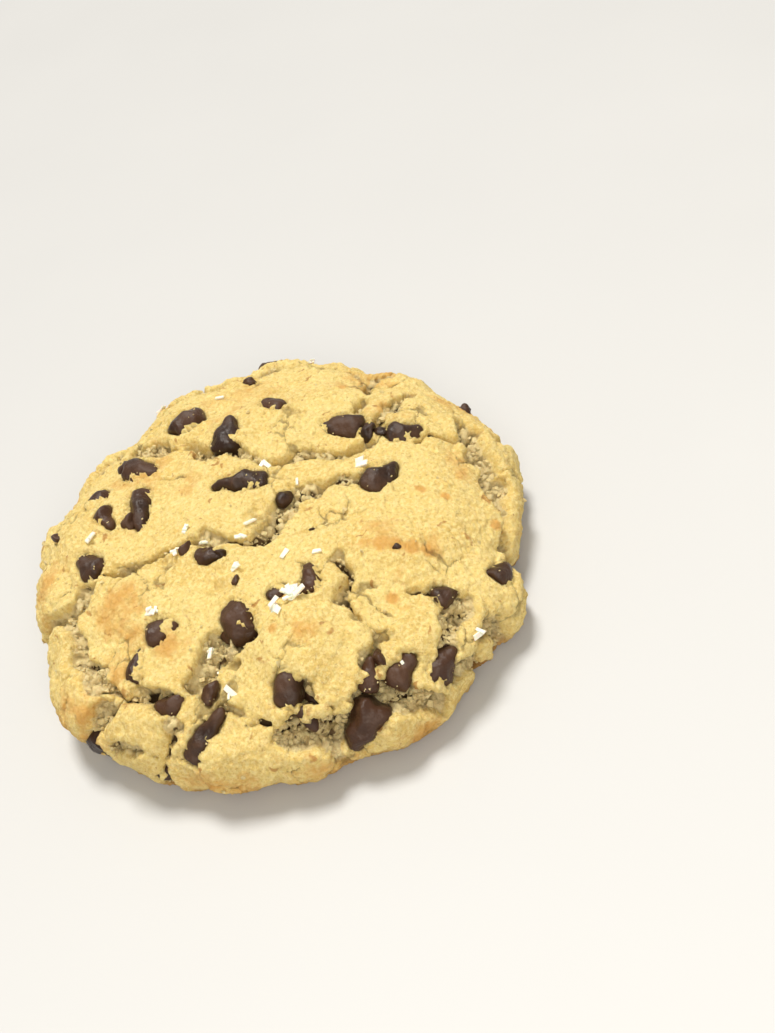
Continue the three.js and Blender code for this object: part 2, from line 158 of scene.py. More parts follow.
# Broken bits of chocolate: across, along, length
BITS = [
    (-15, -8.3, 3.2), (-8.6, -12.8, 3.0), (-23.5, 29, 4.4), (-4.3, -48.8, 4.4), (29, 5.1, 4.6),
    (31.2, 3, 3.2), (9, -16, 1.3), (21.7, -27.9, 1.7), (-25.5, 8.5, 4.0), (-8, -20.5, 2.4),
    (24, -47, 2.6), (10.5, -46.5, 3.4), (-19, 44, 4.0), (12, 41, 3.2), (40, 45, 3.6),
    (-42, 18, 2.6), (55, 12, 3.0), (-6, 66, 3.6),
]

# Browned patches of the crust: across, along, radius, strength
BROWNED = [
    (-33, -13, 9, 0.9), (20, -26, 9, 0.5), (30, -27, 6, 0.5), (-36, -25, 7, 0.8), (-24, -27, 6, 0.7),
    (-50, 8, 10, 0.7), (-20, 22, 12, 0.6), (-30, 2, 8, 0.4), (34, 8, 8, 0.5), (52, 12, 9, 0.8),
    (38, 30, 12, 0.7), (10, 32, 14, 0.7), (-50, -28, 12, 0.8), (-30, -58, 12, 0.8), (-8, -66, 12, 0.8),
    (16, -68, 12, 0.9), (34, -60, 10, 0.6), (56, -30, 9, 0.6), (62, 4, 9, 0.6), (0, -37, 5, 0.5),
    (-12, 56, 14, 0.7), (-44, 40, 12, 0.7), (-30, -22, 5, 1.0), (-12, 15, 9, 0.5), (18, 26, 9, 0.5),
    (44, -12, 7, 0.6),
    (33, -17, 1.3, 1.5), (37, -20, 1.4, 1.6), (47, -20, 1.4, 1.5), (46, -27, 1.8, 1.2),
    (17, -36, 1.8, 1.3), (-5, -34.5, 1.8, 1.2), (30, 24, 1.4, 1.3),
    (14, -23, 2.2, 0.9), (16.5, -24.5, 2.5, 1.1), (19, -25.8, 2.7, 1.3), (21.7, -27.3, 2.7, 1.3),
    (24.3, -28.7, 2.6, 1.3), (27, -30, 2.4, 1.1), (29.5, -31, 2.2, 0.9),
]

# A patch is full in its core and fades to its edge; a lobe is flat, then falls to its edge
PATCH_CORE = 0.2
PATCH_EDGE = 1.2
LOBE_FLAT = 0.45
LOBE_EDGE = 1.15

# Slow swells of the whole form: how many, how long and high the first is, and how the rest follow
SWELLS = 5
SWELL_LENGTH = 44
SWELL_SHORTENING = 0.45
SWELL_HEIGHT = 0.5
SWELL_FADE = 0.8
SWELL_TURN = 2.4
SWELL_TILT = 0.4
SWELL_TILT_TURN = 1.7
SWELL_PHASE = 1.3

# A crack is a narrow cleft in the middle of a broader strip where the crust is torn off, on a gentle
# slope between two banks that rise a little. Shares are of the crack's half width, and its depth is
# parted among the cleft, the torn strip and the slope.
CLEFT_SHARE = 0.62
CLEFT_NARROWEST = 0.65
CLEFT_BROADEST = 0.95
CLEFT_FLOOR = 0.5
CLEFT_EDGE = 1.1
CLEFT_DEPTH = 0.55
TORN_SHARE = 1.15
TORN_MARGIN = 0.45
TORN_EDGE = 0.45
TORN_DEPTH = 0.18
TORN_DEPTH_BY_WIDTH = 0.10
SLOPE_LEAST = 0.55 * SOLID_STEP
SLOPE_SHARE = 2.6
SLOPE_DEPTH = 0.12
BANK_HEIGHT = 0.35
BANK_OUT = 0.9
BANK_WIDTH = 0.9
PIT_DEPTH = 3.5
HAIRLINE_DEPTH = 0.6

# The side wall of the form swells sideways and its top swells outward
SIDEWAYS_TO = 0.6 * WIDEST_LEVEL
OUTWARD_FROM = 1.4 * WIDEST_LEVEL

# The mesh is spread evenly, then made rough: on the underside, on the crust, and more where it is torn
SPREAD_ROUNDS = 16
SPREAD_SHARE = 0.6
ROUGH_UNDER = 0.2
ROUGH_CRUST = 0.3
ROUGH_TORN = 0.7

# The underside has shallow hollows inside a flat margin
HOLLOW_DEPTH = 0.5
HOLLOW_MARGIN = 0.08

# How crumbly a crack, its depth and a chip under the crust make the surface, and how knobbly a bank
CRUMBLY_TORN = 0.85
CRUMBLY_DEPTH = 0.12
CRUMBLY_GHOST = 0.6
KNOBBLY_LEAST = 0.15
KNOBBLY_BANK = 0.75

# Noise that bends a shape: grain, amount, seed
RAGGED_BENDS = [(4.2, 1.3, 3.0), (1.6, 0.5, 8.0)]
HAIRLINE_BENDS = [(3.0, 1.0, 61.0), (1.0, 0.3, 63.0)]
LOBE_BEND = [(9.0, 1.2, 5.0)]
COARSE_BEND = [(2.5, 0.9, 19.0)]
FINE_BEND = [(1.2, 0.45, 17.0)]
KNOB_BEND = [(4.0, 1.2, 23.0)]

# Layers of noise on a surface: grain, octaves, seed, height
SAND = [(6.5, 1, 35.0, 0.30), (2.3, 3, 31.0, 0.30), (1.0, 2, 41.0, 0.22)]
GRIT = [(2.2, 2, 101.0, 0.42), (1.1, 2, 103.0, 0.40)]
POWDER = [(0.8, 1, 107.0, 0.2)]
HOLLOWS = [(2.2, 2, 51.0, 1.0)]
COVER_EDGE = [(1.0, 1, 95.0, 0.35)]
FILM_LUMPS = [(1.2, 2, 97.0, 0.22)]

# Shares that vary from place to place: middle, swing, grain, octaves, seed, least, most
THINNING = (0.75, 1.1, 5.0, 1, 21.0, 0.25, 1.4)
FRAYING = (0.85, 1.7, 6.5, 1, 27.0, 0.2, 1.9)
COVER = (0.25, 2.2, 4.0, 2, 91.0, 0, 1.4)
# The banks of the cracks give the middle of this one
KNOBBLY = (1.2, 14.0, 1, 29.0, 0, 1)

# Broken-up lumps: grain, seed, doming, scatter, depth of the gaps
COARSE_RUBBLE = (2.7, 14.0, 1.7, 1.7, 1.1)
FINE_RUBBLE = (1.35, 4.0, 0.45, 0.45, 0.4)
KNOBS = (4.0, 24.0, 0.8, 0.3, 0.0)
RUBBLE_MIDDLE = 0.45
RUBBLE_GAP = 0.24

# Hairline cracks run between grains, in some places only
HAIRLINE_GRAIN = 7.0
HAIRLINE_SEED = 71.0
HAIRLINE_CORE = 0.02
HAIRLINE_EDGE = 0.11
HAIRLINE_PLACES = (11.0, 1, 81.0)
HAIRLINE_FROM = 0.02
HAIRLINE_FULL = 0.30

# The noise is looked up along a direction of its own for each kind, as far out as the seed says
NOISE_SEED = 4
LUMPS_AWAY = (1.0, 2.3, -1.7)
BENDS_AWAY = (1.0, -1.0, 1.9)
GRAINS_AWAY = (1.0, 1.0, 1.0)
OCTAVE_FADE = 1.0
OCTAVE_STEP = 2.0
LIFT_SPACING = 7.3

# What darkens the surface: painted shade in the deep clefts, the gaps, the hairlines and the pits, the
# foot's bake, and chocolate stain with painted shade where the dough meets a chip
CLEFT_SHADE_FULL_DEPTH = 2.0
CREVICE_TORN = 0.7
FINE_GAP_SHARE = 0.5
GAP_SHADE_STRENGTH = 0.5
HAIRLINE_SHADE_STRENGTH = 0.6
BROWN_LEVEL = 6.5
FOOT_FADE = 0.93
STAIN_AND_CONTACT_SHADE_REACH = 0.4
STAIN_AND_CONTACT_SHADE_HIDDEN = 0.75
FILM_TINT = 0.15

# Chips are rounded, swollen and get bumps and folds: layers of noise, as above
CHIP_ROUNDINGS = 3
CHIP_SWELL = 1.15
CHIP_WELD = 0.01
CHIP_PLUMPING = 0.35
CHIP_BUMPS = [(3.4, 2, 0.0, 0.5)]
CHIP_FOLDS = [(5.0, 1, 9.0, 1.1)]
CHIP_GRIT = [(0.8, 1, 0.0, 0.06)]

# A salt flake is a loose pile of thin, straight-sided shards, each a little skewed and tapered
SALT_SEED = 11
SHARD_THICKNESS = 0.45
SHARD_SLIMNESS = 0.42
SHARD_WIDTHS = (0.7, 1.3)
SHARD_SKEW_LONG = (0.75, 1.1)
SHARD_SKEW_WIDE = (0.6, 1.15)
SHARD_LEVELS = [(-1, 0.9), (0, 1.0), (1, 0.88)]
SMALLER_SHARDS = (0.35, 0.9)
PILE_LEAN = 38
SINGLE_LEAN = 14
SHARD_ROLL = 0.4
PILE_SPREAD = 0.32
PILE_LIFT = 0.30
PILE_STACKING = 0.16

# Loose crumbs with corners
CRUMB_SEED = 7
CRUMB_COUNT = 3200
CRUMB_RADII = (0.18, 0.95)
CRUMB_SMALLNESS = 3
CRUMB_SEAT = 0.3
CRUMB_ANYWHERE = 0.004
CRUMB_LOWEST = 2
CRUMB_CORNERS = 14
CRUMB_FLATNESS = 0.8
CRUMB_CORNER_REACH = (0.65, 1.15)
CRUMB_PALENESS = 0.75

# Tiny crumbs on the bare faces of the chips
DUST_COUNT = 110
DUST_RADII = (0.10, 0.30)
DUST_SAMPLING = 7
DUST_START = 0.1
DUST_CLEARANCE = 12
DUST_STEEPEST = -0.2

# Bits of chocolate are flat and lumpy: height and fineness of the lumps
BIT_LUMPS = [(0.5, 1.1), (0.12, 3.0)]
BIT_OFFSET = 50
BIT_FLATNESS = 0.62
BIT_SEAT = 0.10

# How many shapes the scattered things have, and how far out the rays that seat them start
SHAPES_OF_A_KIND = 12
RAY_START = 8

# Floor and lights, in metres
FLOOR_REACH = 3.0
KEY_STRENGTH = 3.3
KEY_ANGLE = 18
KEY_PLACE = Vector((0.02, 0.26, 0.62))
KEY_COLOUR = (1.0, 0.98, 0.93)
FILL_STRENGTH = 2.8
FILL_SIZE = 0.50
FILL_PLACE = Vector((-0.05, -0.55, 0.45))
FILL_COLOUR = (1.0, 0.95, 0.85)
WORLD_STRENGTH = 0.46
WORLD_COLOUR = (1.0, 0.95, 0.87, 1.0)

CAMERA_ELEVATION = 44.8
CAMERA_ROLL = 23.9
CAMERA_DISTANCE = 0.290
CAMERA_AIM_HEIGHT = 0.010
CAMERA_AIM = Vector((MIDDLE[0] * MM, MIDDLE[1] * MM, CAMERA_AIM_HEIGHT))
CAMERA_NEAREST = 0.01
FRAME_WIDTH = 775
FRAME_HEIGHT = 1033
# Where the aim shows in the frame, and the focal length, in the frame's own pixels
AIM_PIXEL = (266.7, 546.5)
FOCAL_PIXELS = 1351.0
SENSOR = 36.0

# The same cracks and crumbs each time
noise.seed_set(NOISE_SEED)


def smoothstep(low, high, value):
    share = np.clip((value - low) / (high - low), 0, 1)
    return share * share * (3 - 2 * share)


# The half section of the plain form, from the crown to the foot: share of the radius, level, reach
def form_section(steps=200):
    angle = np.linspace(0, math.pi / 2, steps + 1)
    upper_share = np.sin(angle) ** (2 / SHOULDER_ROUNDNESS)
    upper_level = WIDEST_LEVEL + (HEIGHT - WIDEST_LEVEL) * np.cos(angle)
    lower_share = 1 - (1 - FOOT_SHARE) * (1 - np.cos(angle[1:]))
    lower_level = WIDEST_LEVEL * (1 - np.sin(angle[1:]))
    share = np.concatenate([upper_share, lower_share])
    level = np.concatenate([upper_level, lower_level])
    steps_long = np.hypot(np.diff(share) * MEAN_RADIUS, np.diff(level))
    return share, level, np.concatenate([[0], np.cumsum(steps_long)])


SECTION_SHARE, SECTION_LEVEL, SECTION_REACH = form_section()
FOOT_REACH = SECTION_REACH[-1]


# The rim runs smoothly through the radii in the table
def rim_radius(bearing):
    count = len(RIM_RADII)
    turn = (bearing / (2 * math.pi)) % 1 * count
    index = np.floor(turn).astype(int) % count
    along = turn - np.floor(turn)
    a, b, c, d = (RIM_RADII[(index + offset) % count] for offset in (-1, 0, 1, 2))
    return b + 0.5 * along * (c - a + along * (2 * a - 5 * b + 4 * c - d + along * (3 * (b - c) + d - a)))


def form_points(bearing, reach):
    share = np.interp(reach, SECTION_REACH, SECTION_SHARE)
    share -= np.maximum(0, reach - FOOT_REACH) / MEAN_RADIUS
    level = np.interp(reach, SECTION_REACH, SECTION_LEVEL)
    radius = share * rim_radius(bearing)
    return np.stack([radius * np.cos(bearing), radius * np.sin(bearing), level], -1)


def unit(vectors):
    return vectors / np.linalg.norm(vectors, axis=-1, keepdims=True)


def surface_normals(points, triangles):
    corners = points[triangles]
    facing = np.cross(corners[:, 1] - corners[:, 0], corners[:, 2] - corners[:, 0])
    normals = np.zeros_like(points)
    for corner in range(3):
        for axis in range(3):
            normals[:, axis] += np.bincount(triangles[:, corner], facing[:, axis], len(points))
    return unit(normals)


# The points slide over the surface until they are spread evenly, also on the walls of the cracks
def spread_evenly(points, triangles, rounds, share):
    ends = np.concatenate([triangles[:, [0, 1]], triangles[:, [1, 2]], triangles[:, [2, 0]]])
    neighbours = np.bincount(ends[:, 0], minlength=len(points))[:, None]
    for _ in range(rounds):
        totals = [np.bincount(ends[:, 0], points[ends[:, 1], axis], len(points)) for axis in range(3)]
        pull = np.stack(totals, -1) / neighbours - points
        normals = surface_normals(points, triangles)
        pull -= normals * np.sum(pull * normals, axis=1, keepdims=True)
        points = points + share * pull
    return points


# Points of the plain form, with their downhill, around and outward directions
def form_frames(bearing, reach):
    turn = FORM_NUDGE / MEAN_RADIUS
    points = form_points(bearing, reach)
    above = form_points(bearing, np.maximum(0, reach - FORM_NUDGE))
    downhill = unit(form_points(bearing, reach + FORM_NUDGE) - above)
    around = unit(form_points(bearing + turn, reach) - form_points(bearing - turn, reach))
    return points, downhill, around, unit(np.cross(downhill, around))


def place_frame(across, along):
    bearing = np.array([math.atan2(along, across)])
    reach = np.array([math.hypot(across, along)])
    return [values[0] for values in form_frames(bearing, reach)]


# Where in the noise a seed leads
def away(direction, seed):
    return Vector([seed * share for share in direction])


# Smooth noise of a given grain over all points
def lumps(points, grain, octaves, seed):
    offset = away(LUMPS_AWAY, seed)
    scaled = points / grain
    if octaves == 1:
        return np.array([noise.noise(Vector(p) + offset) for p in scaled])
    return np.array([noise.fractal(Vector(p) + offset, OCTAVE_FADE, OCTAVE_STEP, octaves) for p in scaled])


# The sum of a table's layers of noise
def layered(points, layers):
    return sum(height * lumps(points, grain, octaves, seed) for grain, octaves, seed, height in layers)


# A share that varies from place to place
def varied(points, middle, swing, grain, octaves, seed, least, most):
    return np.clip(middle + swing * lumps(points, grain, octaves, seed), least, most)


# Points pushed about by noise, so that whatever is worked out from them is bent
def bent(points, bends):
    for grain, amount, seed in bends:
        offset = away(BENDS_AWAY, seed)
        push = np.array([noise.noise_vector(Vector(p) + offset) for p in points / grain])
        points = points + amount * push
    return points


# The grain that each point lies in: distance to its middle, distance to the next one's middle, and
# its own lift from -0.5 to 0.5
def grains(points, grain, seed):
    offset = away(GRAINS_AWAY, seed)
    rows = []
    for p in points / grain:
        distances, centres = noise.voronoi(Vector(p) + offset)
        lift = noise.cell(centres[0] * LIFT_SPACING) - 0.5
        rows.append((distances[0], distances[1], lift))
    return np.array(rows)


# Broken-up lumps of a given grain: each is a low dome at its own height, with a gap round it
def rubble(points, grain, seed, doming, scatter, gap_depth):
    nearest = grains(points, grain, seed)
    gap = 1 - smoothstep(0.0, RUBBLE_GAP, nearest[:, 1] - nearest[:, 0])
    return (RUBBLE_MIDDLE - nearest[:, 0]) * doming + nearest[:, 2] * scatter - gap * gap_depth, gap


def swell(points):
    total = np.zeros(len(points))
    for index in range(SWELLS):
        turn = SWELL_TURN * index
        tilt = SWELL_TILT * math.cos(SWELL_TILT_TURN * index)
        along = points @ np.array([math.cos(turn), math.sin(turn), tilt])
        length = SWELL_LENGTH / (1 + SWELL_SHORTENING * index)
        height = SWELL_HEIGHT * SWELL_FADE ** index
        total += height * np.sin(2 * math.pi * along / length + SWELL_PHASE * index)
    return total


def lobe_height(points):
    highest = np.zeros(len(points))
    for across, along, radius, height in LOBES:
        centre = place_frame(across, along)[0]
        distance = np.linalg.norm(points - centre, axis=1)
        fall = smoothstep(LOBE_FLAT * radius, LOBE_EDGE * radius, distance)
        highest = np.maximum(highest, height * (1 - fall))
    return highest


def distance_to_path(points, path):
    least = np.full(len(points), np.inf)
    for start, end in zip(path[:-1], path[1:]):
        run = end - start
        share = np.clip((points - start) @ run / (run @ run), 0, 1)
        least = np.minimum(least, np.linalg.norm(points - start - share[:, None] * run, axis=1))
    return least


# Thinning and fraying change the widths of the cleft and of the torn strip from place to place
def crack_relief(points, thinning, fraying):
    depth_cut = np.zeros(len(points))
    cleft_share = np.zeros(len(points))
    torn_share = np.zeros(len(points))
    bank = np.zeros(len(points))
    for half, depth, *places in CRACKS:
        path = [place_frame(*place)[0] for place in places]
        distance = distance_to_path(points, path)
        narrow = min(max(CLEFT_SHARE * half, CLEFT_NARROWEST), CLEFT_BROADEST) * thinning
        torn_reach = (TORN_SHARE * half + TORN_MARGIN) * fraying
        cleft = 1 - smoothstep(CLEFT_FLOOR * narrow, CLEFT_EDGE * narrow, distance)
        torn = 1 - smoothstep(torn_reach - TORN_EDGE, torn_reach + TORN_EDGE, distance)
        slope = 1 - smoothstep(0, SLOPE_SHARE * max(half, SLOPE_LEAST), distance)
        torn_depth = TORN_DEPTH + TORN_DEPTH_BY_WIDTH * half
        cut = depth * (CLEFT_DEPTH * cleft + SLOPE_DEPTH * slope + torn_depth * torn)
        depth_cut = np.maximum(depth_cut, cut)
        cleft_share = np.maximum(cleft_share, cleft)
        torn_share = np.maximum(torn_share, torn)
        bank = np.maximum(bank, np.exp(-((distance - torn_reach - BANK_OUT) / BANK_WIDTH) ** 2))
    return depth_cut, cleft_share, torn_share, bank * (1 - torn_share)


def patch_strength(points, patches):
    strongest = np.zeros(len(points))
    for across, along, radius, strength in patches:
        centre = place_frame(across, along)[0]
        distance = np.linalg.norm(points - centre, axis=1)
        fade = smoothstep(PATCH_CORE * radius, PATCH_EDGE * radius, distance)
        strongest = np.maximum(strongest, strength * (1 - fade))
    return strongest


# Rings of points from the crown to the middle of the underside: reach, share of the way in that is
# left, how many points, and a turn of half a step for every other ring
def dough_rings():
    rings = []
    side_rings = round(FOOT_REACH / SKIN_STEP)
    for index in range(1, side_rings + 1):
        reach = index / side_rings * FOOT_REACH
        share = np.interp(reach, SECTION_REACH, SECTION_SHARE)
        count = max(RING_LEAST, round(2 * math.pi * MEAN_RADIUS * share / SKIN_STEP))
        rings.append((reach, 1.0, count, 0.5 * (index % 2)))
    underside_rings = round(FOOT_SHARE * MEAN_RADIUS / UNDERSIDE_STEP)
    for index in range(1, underside_rings):
        left = 1 - index / underside_rings
        count = max(RING_LEAST, round(2 * math.pi * MEAN_RADIUS * FOOT_SHARE * left / UNDERSIDE_STEP))
        rings.append((FOOT_REACH, left, count, 0.5 * (index % 2)))
    return rings


# Two rings of any counts are joined by always stepping along the ring that lags behind
def zip_rings(upper, lower):
    upper_first, upper_count, upper_turn = upper
    lower_first, lower_count, lower_turn = lower
    triangles = []
    above = below = 0
    while above < upper_count or below < lower_count:
        upper_next = (above + 1 + upper_turn) / upper_count
        lower_next = (below + 1 + lower_turn) / lower_count
        here = upper_first + above % upper_count
        under = lower_first + below % lower_count
        if below >= lower_count or (above < upper_count and upper_next <= lower_next):
            above += 1
            triangles.append((here, under, upper_first + above % upper_count))
        else:
            below += 1
            triangles.append((here, under, lower_first + below % lower_count))
    return triangles


def fan(centre, first, count, outward):
    edges = [(first + index, first + (index + 1) % count) for index in range(count)]
    return [(centre, a, b) if outward else (a, centre, b) for a, b in edges]


class Dough:
    """The dough's fine mesh: points, triangles, and what the materials read at each point."""

    def __init__(self, chip_tree):
        bearing, reach, inset, self.triangles = self.lattice()
        base, _, _, outward = form_frames(bearing, reach)
        level = base[:, 2]
        sideways = np.stack([np.cos(bearing), np.sin(bearing), np.zeros(len(bearing))], -1)
        blend = smoothstep(SIDEWAYS_TO, OUTWARD_FROM, level)[:, None]
        direction = unit(sideways * (1 - blend) + outward * blend)
        flat = inset < 1.0
        self.skin = ~flat

        ragged = bent(base, RAGGED_BENDS)
        thinning = varied(base, *THINNING)
        fraying = varied(base, *FRAYING)
        depth, cleft, torn, bank = crack_relief(ragged, thinning, fraying)
        pit = np.clip(patch_strength(ragged, PITS), 0, 1)
        ghost = patch_strength(ragged, GHOSTS)
        crumbly = np.clip(CRUMBLY_TORN * torn + CRUMBLY_DEPTH * depth + CRUMBLY_GHOST * ghost, 0, 1)
        knobbly = varied(base, KNOBBLY_LEAST + KNOBBLY_BANK * bank, *KNOBBLY)
        coarse, coarse_gap = rubble(bent(base, COARSE_BEND), *COARSE_RUBBLE)
        fine, fine_gap = rubble(bent(base, FINE_BEND), *FINE_RUBBLE)
        knobs, _ = rubble(bent(base, KNOB_BEND), *KNOBS)
        hairline = self.hairlines(base)

        relief = swell(base) + lobe_height(bent(base, LOBE_BEND)) - PIT_DEPTH * pit
        relief = relief + BANK_HEIGHT * bank - depth + (coarse + fine) * crumbly + knobs * knobbly
        relief = relief + layered(base, SAND) - HAIRLINE_DEPTH * hairline
        side = np.where(flat[:, None], sideways, direction)
        points = base + side * relief[:, None]
        points[:, :2] *= inset[:, None]
        points = spread_evenly(points, self.triangles, SPREAD_ROUNDS, SPREAD_SHARE)
        points = self.roughened(points, np.where(flat, ROUGH_UNDER, ROUGH_CRUST + ROUGH_TORN * crumbly))
        hollows = np.clip(layered(points, HOLLOWS), 0, 1) * HOLLOW_DEPTH
        hollows *= smoothstep(0, HOLLOW_MARGIN, 1 - inset)
        points[:, 2] = np.maximum(0, points[:, 2]) + np.where(flat, hollows, 0)
        points, near, film = self.around_chips(chip_tree, points, side)

        self.points = (points + MIDDLE) * MM
        self.points[:, 2] = np.maximum(0, self.points[:, 2])
        self.normals = surface_normals(self.points, self.triangles)
        outer = smoothstep(FOOT_FADE, 1.0, inset)
        self.crevice = np.clip(CREVICE_TORN * torn + CRUMBLY_DEPTH * depth, 0, 1) * outer
        gap_shade = np.maximum(coarse_gap, FINE_GAP_SHARE * fine_gap) * crumbly
        # Painted shade: the deep clefts, the gaps between lumps, the hairlines and the pits are painted
        # dark, where shade falls in them
        deep_cleft_shade = cleft * np.clip(depth / CLEFT_SHADE_FULL_DEPTH, 0, 1)
        painted_shade = np.maximum.reduce([deep_cleft_shade, GAP_SHADE_STRENGTH * gap_shade, HAIRLINE_SHADE_STRENGTH * hairline, pit])
        self.cleft = painted_shade * outer
        self.brown = patch_strength(base, BROWNED) * outer
        self.under = np.where(flat, 1.0, 1 - smoothstep(0.0, BROWN_LEVEL, level))
        # Chocolate stain near the chips, with painted shade in the crease where the dough meets a chip,
        # less under a film of dough
        self.stain_and_contact_shade = np.exp(-np.clip(near, 0, None) / STAIN_AND_CONTACT_SHADE_REACH) * (1 - STAIN_AND_CONTACT_SHADE_HIDDEN * film)
        self.film = np.maximum(FILM_TINT * film, ghost * outer)

    # A sandy crust, and crumbs on the walls of the cracks too
    def roughened(self, points, strength):
        normals = surface_normals(points, self.triangles)
        return points + normals * (strength * layered(points, GRIT) + layered(points, POWDER))[:, None]

    # The dough sinks, dips and swells near the chips, and climbs raggedly over their flanks
    def around_chips(self, tree, points, side):
        near = np.array([self.chip_distance(tree, p) for p in (points + MIDDLE) * MM]) / MM
        swelling = COLLAR_HEIGHT * np.exp(-((near - COLLAR_OUT) / COLLAR_WIDTH) ** 2)
        swelling = swelling - DIP_DEPTH * np.exp(-(near / DIP_WIDTH) ** 2)
        swelling = swelling - SINK_DEPTH * smoothstep(SINK_FROM, SINK_TO, -near)
        points = points + side * np.where(self.skin, swelling, 0)[:, None]
        rise = self.chip_rise(tree, points, side, self.skin & (near < FILM_SEARCH))
        reach = COVER_HEIGHT * varied(points, *COVER)
        reach += FILM_HEIGHT * patch_strength(points, FILMS)
        reach += layered(points, COVER_EDGE)
        covered = (rise > 0) & (rise < reach)
        skin_over = rise + FILM_THICKNESS + layered(points, FILM_LUMPS)
        points = points + side * np.where(covered, skin_over, 0)[:, None]
        return points, near, covered * 1.0

    # How far a chip stands above the dough at each point
    def chip_rise(self, tree, points, side, wanted):
        rise = np.zeros(len(points))
        for index in np.flatnonzero(wanted):
            start = (points[index] + MIDDLE + side[index] * CHIP_CLEARANCE) * MM
            hit = tree.ray_cast(Vector(start), -Vector(side[index]), CHIP_CLEARANCE * MM)
            if hit[0] is not None:
                rise[index] = CHIP_CLEARANCE - hit[3] / MM
        return rise

    def lattice(self):
        bearings, reaches, insets = [0.0], [CROWN_REACH], [1.0]
        triangles = []
        rings = []
        for reach, inset, count, turn in dough_rings():
            rings.append((len(bearings), count, turn))
            bearings += [2 * math.pi * (index + turn) / count for index in range(count)]
            reaches += [reach] * count
            insets += [inset] * count
        triangles += fan(0, rings[0][0], rings[0][1], True)
        for upper, lower in zip(rings[:-1], rings[1:]):
            triangles += zip_rings(upper, lower)
        middle = len(bearings)
        bearings.append(0.0)
        reaches.append(FOOT_REACH)
        insets.append(0.0)
        triangles += fan(middle, rings[-1][0], rings[-1][1], False)
        return np.array(bearings), np.array(reaches), np.array(insets), np.array(triangles)

    # Hairline cracks in the crust, 1 in their middle
    def hairlines(self, base):
        nearest = grains(bent(base, HAIRLINE_BENDS), HAIRLINE_GRAIN, HAIRLINE_SEED)
        edge = nearest[:, 1] - nearest[:, 0]
        where = smoothstep(HAIRLINE_FROM, HAIRLINE_FULL, lumps(base, *HAIRLINE_PLACES))
        return where * (1 - smoothstep(HAIRLINE_CORE, HAIRLINE_EDGE, edge))

    # Distance to the nearest chip, less than 0 inside it
    def chip_distance(self, tree, point):
        where, normal, _, distance = tree.find_nearest(Vector(point), CHIP_SEARCH * MM)
        if where is None:
            return CHIP_SEARCH * MM
        inside = (Vector(point) - where).dot(normal) < 0
        return -distance if inside else distance

    def piece(self):
        mesh = bpy.data.meshes.new("cookie_dough")
        mesh.from_pydata(self.points.tolist(), [], self.triangles.tolist())
        for name in ("crevice", "cleft", "brown", "under", "stain_and_contact_shade", "film"):
            attribute = mesh.attributes.new(name, "FLOAT", "POINT")
            attribute.data.foreach_set("value", getattr(self, name).astype(np.float32))
        mesh.shade_smooth()
        return linked("cookie_dough", mesh)


def linked(name, mesh):
    piece = bpy.data.objects.new(name, mesh)
    bpy.context.scene.collection.objects.link(piece)
    return piece


# Every piece rides on the one body and has one material
def hold(piece, material):
    piece.data.materials.clear()
    piece.data.materials.append(material)
    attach(piece, "root")
    return piece


def srgb(red, green, blue):
    def linear(value):
        value /= 255
        return value / 12.92 if value <= 0.04045 else ((value + 0.055) / 1.055) ** 2.4
    return (linear(red), linear(green), linear(blue), 1.0)


CRUST = srgb(243, 216, 137)
CRUMB = srgb(244, 225, 172)
BOTTOM = srgb(196, 146, 80)
TOAST = srgb(222, 164, 82)
# Painted shade for the clefts, gaps, hairlines and pits
PAINTED_CLEFT_SHADE = srgb(74, 46, 20)
# Chocolate stain, with painted shade where the dough meets a chip
STAIN_AND_CONTACT_SHADE = srgb(74, 46, 26)
COVERED_CHOCOLATE = srgb(136, 112, 80)
CHOCOLATE = srgb(40, 24, 15)
SALT = srgb(228, 220, 200)
SALT_WHITE = srgb(246, 241, 228)
FLOOR = srgb(186, 186, 186)
FLOOR_PALER = srgb(193, 193, 193)

# Speckles: scale, detail, roughness and distortion of their noise, where they start and are full,
# their strength, their colour
CRUST_SPECKLES = [
    (95, 4.0, 0.6, 0.0, 0.35, 0.7, 1.0, srgb(235, 202, 118)),
    (1300, 3.0, 0.7, 0.0, 0.42, 0.62, 1.0, srgb(253, 229, 158)),
    (1500, 3.0, 0.7, 0.0, 0.52, 0.68, 0.6, srgb(212, 174, 98)),
    (850, 2.0, 0.6, 0.0, 0.64, 0.74, 0.45, srgb(176, 132, 66)),
]
BURNT_SPECKLES = [(300, 2.0, 0.5, 0.6, 0.67, 0.73, 0.7, srgb(178, 116, 50))]
CRUMB_SPECKLES = [(900, 3.0, 0.6, 0.0, 0.3, 0.7, 1.0, srgb(224, 200, 144))]
BOTTOM_SPECKLES = [(60, 5.0, 0.7, 0.0, 0.42, 0.6, 1.0, srgb(170, 114, 54))]
CHOCOLATE_SPECKLES = [
    (55, 1.0, 0.55, 0.0, 0.4, 0.6, 1.0, srgb(62, 38, 24)),
    (160, 4.0, 0.6, 0.0, 0.35, 0.7, 0.8, srgb(78, 52, 35)),
    (330, 4.0, 0.65, 0.0, 0.60, 0.80, 0.45, srgb(134, 104, 80)),
]

# Noise of the materials: scale, detail, roughness
TOAST_NOISE = (170, 4.0, 0.65)
DOUGH_NOISE = (900, 3.0, 0.6)
COVERED_NOISE = (420, 3.0, 0.55)
CHOCOLATE_NOISE = (160, 4.0, 0.6)
SALT_NOISE = (700, 3.0, 0.6)
FLOOR_NOISE = (14, 3.0, 0.5)

# Where a noise or a value of the mesh starts and is full, then what it turns into
TOAST_RANGE = (0.60, 0.92, 0.0, 0.8)
COVERED_NOISE_RANGE = (0.35, 0.6, 0.35, 1.0)
COVERED_RANGE = (0.2, 0.9, 0.0, 0.45)
CREVICE_RANGE = (0.15, 0.85, 0.0, 0.9)
